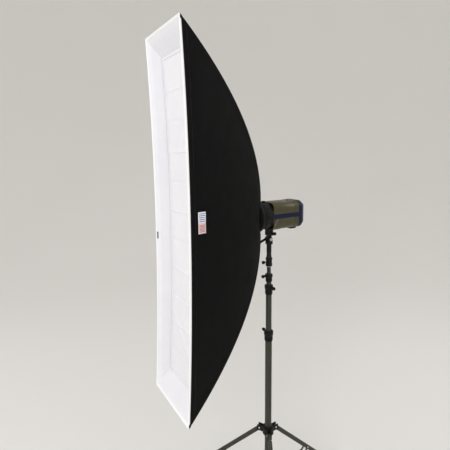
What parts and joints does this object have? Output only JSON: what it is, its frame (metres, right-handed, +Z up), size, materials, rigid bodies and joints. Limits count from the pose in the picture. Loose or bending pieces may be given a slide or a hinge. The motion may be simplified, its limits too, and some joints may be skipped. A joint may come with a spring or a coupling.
{
  "type": "studio softbox",
  "caption": "Tall strip softbox with a recessed white front on a flash head, tilting bracket and telescopic folding light stand.",
  "frame": {"origin": "bottom centre of the bounding box, on the floor", "axes": "+Z up along the column; the softbox faces -Y; +X is to the right of somebody standing behind the flash head"},
  "size_m": [0.9986, 1.1206, 2.4544],
  "materials": {
    "black_cloth": "woven nylon, silver lining",
    "white_cloth": "white diffusion cloth",
    "sprung_rod": "drawn spring steel",
    "black_casting": "black powder coat",
    "black_plastic": "fine moulded texture",
    "champagne_shell": "satin metallic lacquer",
    "blue_plastic": "moulded, satin gloss",
    "satin_steel": "turned, satin",
    "anodised_tube": "dark olive anodised",
    "rubber": "moulded",
    "lamp_glass": "clear",
    "capacitor_sleeve": "shrink sleeve"
  },
  "bodies": {
    "base_column": {"column_tube_1": "anodised_tube", "lock_collar_1": "black_plastic", "base_bracket": "black_plastic"},
    "lock_screw_1_body": {"lock_screw_1": "black_plastic"},
    "column_2": {"column_tube_2": "anodised_tube", "lock_collar_2": "black_plastic"},
    "lock_screw_2_body": {"lock_screw_2": "black_plastic"},
    "column_3": {"column_tube_3": "anodised_tube", "lock_collar_3": "black_plastic"},
    "lock_screw_3_body": {"lock_screw_3": "black_plastic"},
    "column_4": {"column_tube_4": "anodised_tube", "spigot": "satin_steel"},
    "hub": {"leg_hub": "black_plastic"},
    "hub_screw_body": {"hub_screw": "black_plastic"},
    "leg_1_body": {"leg_1": "anodised_tube", "boot_1": "rubber"},
    "leg_2_body": {"leg_2": "anodised_tube", "boot_2": "rubber"},
    "leg_3_body": {"leg_3": "anodised_tube", "boot_3": "rubber"},
    "brace_1_body": {"brace_1": "anodised_tube"},
    "brace_2_body": {"brace_2": "anodised_tube"},
    "brace_3_body": {"brace_3": "anodised_tube"},
    "swivel": {"stand_socket": "satin_steel", "tilt_yoke": "black_casting", "tilt_bolt": "satin_steel"},
    "socket_screw_body": {"socket_screw": "black_plastic"},
    "lever": {"tilt_lever": "black_plastic"},
    "head": {"tilt_tongue": "black_casting", "body_shell_top": "champagne_shell", "body_shell_bottom": "champagne_shell", "side_trim_right": "blue_plastic", "side_trim_left": "blue_plastic", "rear_collar": "champagne_shell", "rear_cap": "blue_plastic", "control_panel": "black_plastic", "mains_inlet": "black_plastic", "rear_foot": "rubber", "front_housing": "black_plastic", "bayonet_adapter": "black_casting", "flash_tube": "lamp_glass", "modelling_lamp": "lamp_glass", "flash_capacitor": "capacitor_sleeve"},
    "umbrella_screw_body": {"umbrella_screw": "black_plastic"},
    "release": {"bayonet_release": "black_plastic"},
    "dial": {"power_dial": "black_plastic"},
    "button": {"test_button": "blue_plastic"},
    "switch": {"power_switch": "black_plastic"},
    "softbox": {"speed_ring": "black_casting", "shell_side_right": "black_cloth", "shell_side_left": "black_cloth", "shell_top": "black_cloth", "shell_bottom": "black_cloth", "front_lip": "white_cloth", "front_diffuser": "white_cloth", "rod_top_right": "sprung_rod", "rod_top_left": "sprung_rod", "rod_bottom_left": "sprung_rod", "rod_bottom_right": "sprung_rod"},
    "ring_lock_body": {"ring_lock_screw": "black_casting"}
  },
  "joints": [
    {"name": "hub_slide", "type": "slide", "parent": "base_column", "child": "hub", "axis": [0, 0, 1], "range_m": [0, 0.198]},
    {"name": "leg_1_fold", "type": "hinge", "parent": "hub", "child": "leg_1_body", "pos_m": [0.03984, -0.03632, 0.50015], "axis": [0.5, 0.866, 0], "range_deg": [0, 44]},
    {"name": "brace_1_fold", "type": "hinge", "parent": "leg_1_body", "child": "brace_1_body", "pos_m": [0.2423, -0.15321, 0.27439], "axis": [0.5, 0.866, 0], "range_deg": [-88, 0]},
    {"name": "leg_2_fold", "type": "hinge", "parent": "hub", "child": "leg_2_body", "pos_m": [-0.03984, -0.03632, 0.50015], "axis": [0.5, -0.866, 0], "range_deg": [0, 44]},
    {"name": "brace_2_fold", "type": "hinge", "parent": "leg_2_body", "child": "brace_2_body", "pos_m": [-0.2423, -0.15321, 0.27439], "axis": [0.5, -0.866, 0], "range_deg": [-88, 0]},
    {"name": "leg_3_fold", "type": "hinge", "parent": "hub", "child": "leg_3_body", "pos_m": [0, 0.03268, 0.50015], "axis": [-1, 0, 0], "range_deg": [0, 44]},
    {"name": "brace_3_fold", "type": "hinge", "parent": "leg_3_body", "child": "brace_3_body", "pos_m": [0, 0.26647, 0.27439], "axis": [-1, 0, 0], "range_deg": [-88, 0]},
    {"name": "hub_screw_turn", "type": "hinge", "parent": "hub", "child": "hub_screw_body", "pos_m": [-0.02511, 0.00118, 0.50015], "axis": [-0.866, 0.5, 0], "range_deg": [0, 360]},
    {"name": "column_2_slide", "type": "slide", "parent": "base_column", "child": "column_2", "axis": [0, 0, 1], "range_m": [-0.194, 0.53]},
    {"name": "column_3_slide", "type": "slide", "parent": "column_2", "child": "column_3", "axis": [0, 0, 1], "range_m": [-0.016, 0.68]},
    {"name": "column_4_slide", "type": "slide", "parent": "column_3", "child": "column_4", "axis": [0, 0, 1], "range_m": [-0.036, 0.64]},
    {"name": "lock_screw_1_turn", "type": "hinge", "parent": "base_column", "child": "lock_screw_1_body", "pos_m": [-0.0239, -0.01332, 1.04323], "axis": [-1, 0, 0], "range_deg": [0, 360]},
    {"name": "lock_screw_2_turn", "type": "hinge", "parent": "column_2", "child": "lock_screw_2_body", "pos_m": [0.0214, -0.01332, 1.28803], "axis": [1, 0, 0], "range_deg": [0, 360]},
    {"name": "lock_screw_3_turn", "type": "hinge", "parent": "column_3", "child": "lock_screw_3_body", "pos_m": [0, -0.03222, 1.34683], "axis": [0, -1, 0], "range_deg": [0, 360]},
    {"name": "head_swivel", "type": "hinge", "parent": "column_4", "child": "swivel", "pos_m": [0, -0.01332, 1.39643], "axis": [0, 0, 1], "continuous": true},
    {"name": "socket_screw_turn", "type": "hinge", "parent": "swivel", "child": "socket_screw_body", "pos_m": [0, -0.02982, 1.41893], "axis": [0, -1, 0], "range_deg": [0, 360]},
    {"name": "head_tilt", "type": "hinge", "parent": "swivel", "child": "head", "pos_m": [0, -0.01332, 1.53443], "axis": [1, 0, 0], "range_deg": [-90, 25]},
    {"name": "tilt_lever_turn", "type": "hinge", "parent": "swivel", "child": "lever", "pos_m": [0, -0.01332, 1.53443], "axis": [1, 0, 0], "range_deg": [-60, 60]},
    {"name": "umbrella_screw_turn", "type": "hinge", "parent": "head", "child": "umbrella_screw_body", "pos_m": [0.0174, -0.00732, 1.56603], "axis": [1, 0, 0], "range_deg": [0, 360]},
    {"name": "bayonet_release_slide", "type": "slide", "parent": "head", "child": "release", "axis": [0, 1, 0], "range_m": [0, 0.006], "stiffness_N_per_m": 200, "springref_m": -0.002},
    {"name": "power_dial_turn", "type": "hinge", "parent": "head", "child": "dial", "pos_m": [0, 0.17158, 1.68043], "axis": [0, 1, 0], "range_deg": [0, 270]},
    {"name": "test_button_press", "type": "slide", "parent": "head", "child": "button", "axis": [0, -1, 0], "range_m": [0, 0.0015], "stiffness_N_per_m": 400, "springref_m": -0.001},
    {"name": "power_switch_rock", "type": "hinge", "parent": "head", "child": "switch", "pos_m": [-0.022, 0.17158, 1.62843], "axis": [1, 0, 0], "range_deg": [0, 16]},
    {"name": "softbox_turn", "type": "hinge", "parent": "head", "child": "softbox", "pos_m": [0, -0.10842, 1.65443], "axis": [0, 1, 0], "continuous": true},
    {"name": "ring_lock_turn", "type": "hinge", "parent": "softbox", "child": "ring_lock_body", "pos_m": [0, -0.10142, 1.73283], "axis": [0, 0, 1], "range_deg": [0, 360]}
  ],
  "couplings": [
    {"joint": "leg_1_fold", "follows": "hub_slide", "rad_per_m": 3.877},
    {"joint": "brace_1_fold", "follows": "hub_slide", "rad_per_m": -7.7541},
    {"joint": "leg_2_fold", "follows": "hub_slide", "rad_per_m": 3.877},
    {"joint": "brace_2_fold", "follows": "hub_slide", "rad_per_m": -7.7541},
    {"joint": "leg_3_fold", "follows": "hub_slide", "rad_per_m": 3.877},
    {"joint": "brace_3_fold", "follows": "hub_slide", "rad_per_m": -7.7541}
  ]
}
